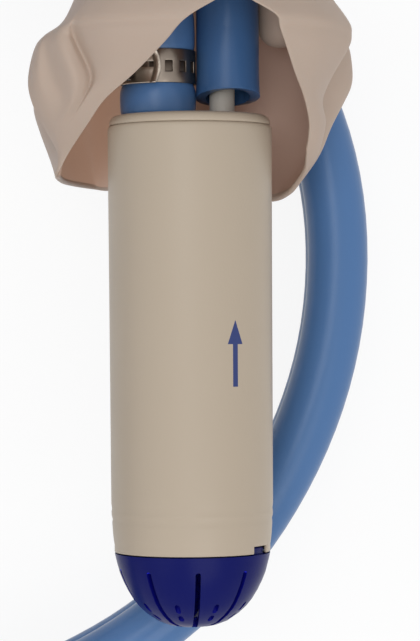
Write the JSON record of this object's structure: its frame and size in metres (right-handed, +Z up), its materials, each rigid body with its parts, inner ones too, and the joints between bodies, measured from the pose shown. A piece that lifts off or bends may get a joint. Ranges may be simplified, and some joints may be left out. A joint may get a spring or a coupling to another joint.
{
  "type": "submersible in-line pump set",
  "caption": "Submersible in-line electric water pump with slotted strainer dome, clipped twin hose, sliding rubber dust cover and far-end plug.",
  "frame": {"origin": "on the table under the pump axis, halfway between the tip of the strainer dome and the top of the dust cover's neck", "axes": "+Y along the pump axis towards the hose outlet, +Z up from the table, +X to the right when the outlet points away"},
  "size_m": [0.2902, 0.3481, 0.0852],
  "materials": {
    "casing_cream": "moulded, satin gloss",
    "strainer_blue": "moulded, gloss",
    "gland_rubber": "matt",
    "seal_rubber": "matt",
    "inner_plastic": "moulded",
    "white_plastic": "moulded",
    "motor_steel": "zinc plated",
    "magnet_ferrite": "sintered",
    "shaft_steel": "ground",
    "core_steel": "laminated",
    "copper": "enamelled wire",
    "bearing_bronze": "sintered",
    "clip_steel": "stainless",
    "hose_blue": "extruded, soft gloss",
    "cable_cream": "extruded",
    "lead_insulation": "extruded",
    "cover_rubber": "moulded, matt",
    "plug_plastic": "moulded",
    "pin_brass": "plated"
  },
  "bodies": {
    "pump": {"outer_casing": "casing_cream", "top_cap": "casing_cream", "cable_gland": "gland_rubber", "inlet_plate": "inner_plastic", "diffuser": "inner_plastic", "motor_capsule": "inner_plastic", "capsule_lid": "inner_plastic", "capsule_o_ring": "seal_rubber", "shaft_seal": "seal_rubber", "motor_can": "motor_steel", "motor_end_cap": "white_plastic", "magnet_left": "magnet_ferrite", "magnet_right": "magnet_ferrite", "lower_bearing": "bearing_bronze", "upper_bearing": "bearing_bronze", "brush_left": "bearing_bronze", "brush_right": "bearing_bronze", "lead_wires": "lead_insulation", "power_cable": "cable_cream", "sleeve_end": "hose_blue", "water_hose_end": "hose_blue", "clip_band": "clip_steel", "clip_housing": "clip_steel", "water_hose": "hose_blue", "cable_sleeve": "hose_blue", "plug_boot": "seal_rubber", "plug_body": "plug_plastic", "plug_cover": "plug_plastic", "plug_spigot": "plug_plastic", "plug_o_rings": "seal_rubber", "pin_block": "white_plastic", "contact_pins": "pin_brass", "plug_screws": "shaft_steel"},
    "rotor": {"rotor_shaft": "shaft_steel", "impeller": "white_plastic", "impeller_clip": "shaft_steel", "armature_core": "core_steel", "armature_windings": "copper", "commutator": "copper"},
    "strainer_body": {"strainer": "strainer_blue"},
    "clip_screw_body": {"clip_screw": "clip_steel"},
    "cover_body": {"dust_cover": "cover_rubber"}
  },
  "joints": [
    {"name": "rotor_spin", "type": "hinge", "parent": "pump", "child": "rotor", "pos_m": [0, -0.03, 0.054], "axis": [0, 1, 0], "continuous": true},
    {"name": "strainer_twist", "type": "hinge", "parent": "pump", "child": "strainer_body", "pos_m": [0, -0.075, 0.054], "axis": [0, 1, 0], "range_deg": [0, 30]},
    {"name": "clip_screw_turn", "type": "hinge", "parent": "pump", "child": "clip_screw_body", "pos_m": [-0.01821, 0.0432, 0.05959], "axis": [0.4695, 0, 0.8829], "continuous": true},
    {"name": "cover_slide", "type": "slide", "parent": "pump", "child": "cover_body", "axis": [0, 1, 0], "range_m": [-0.0025, 0.006]}
  ]
}
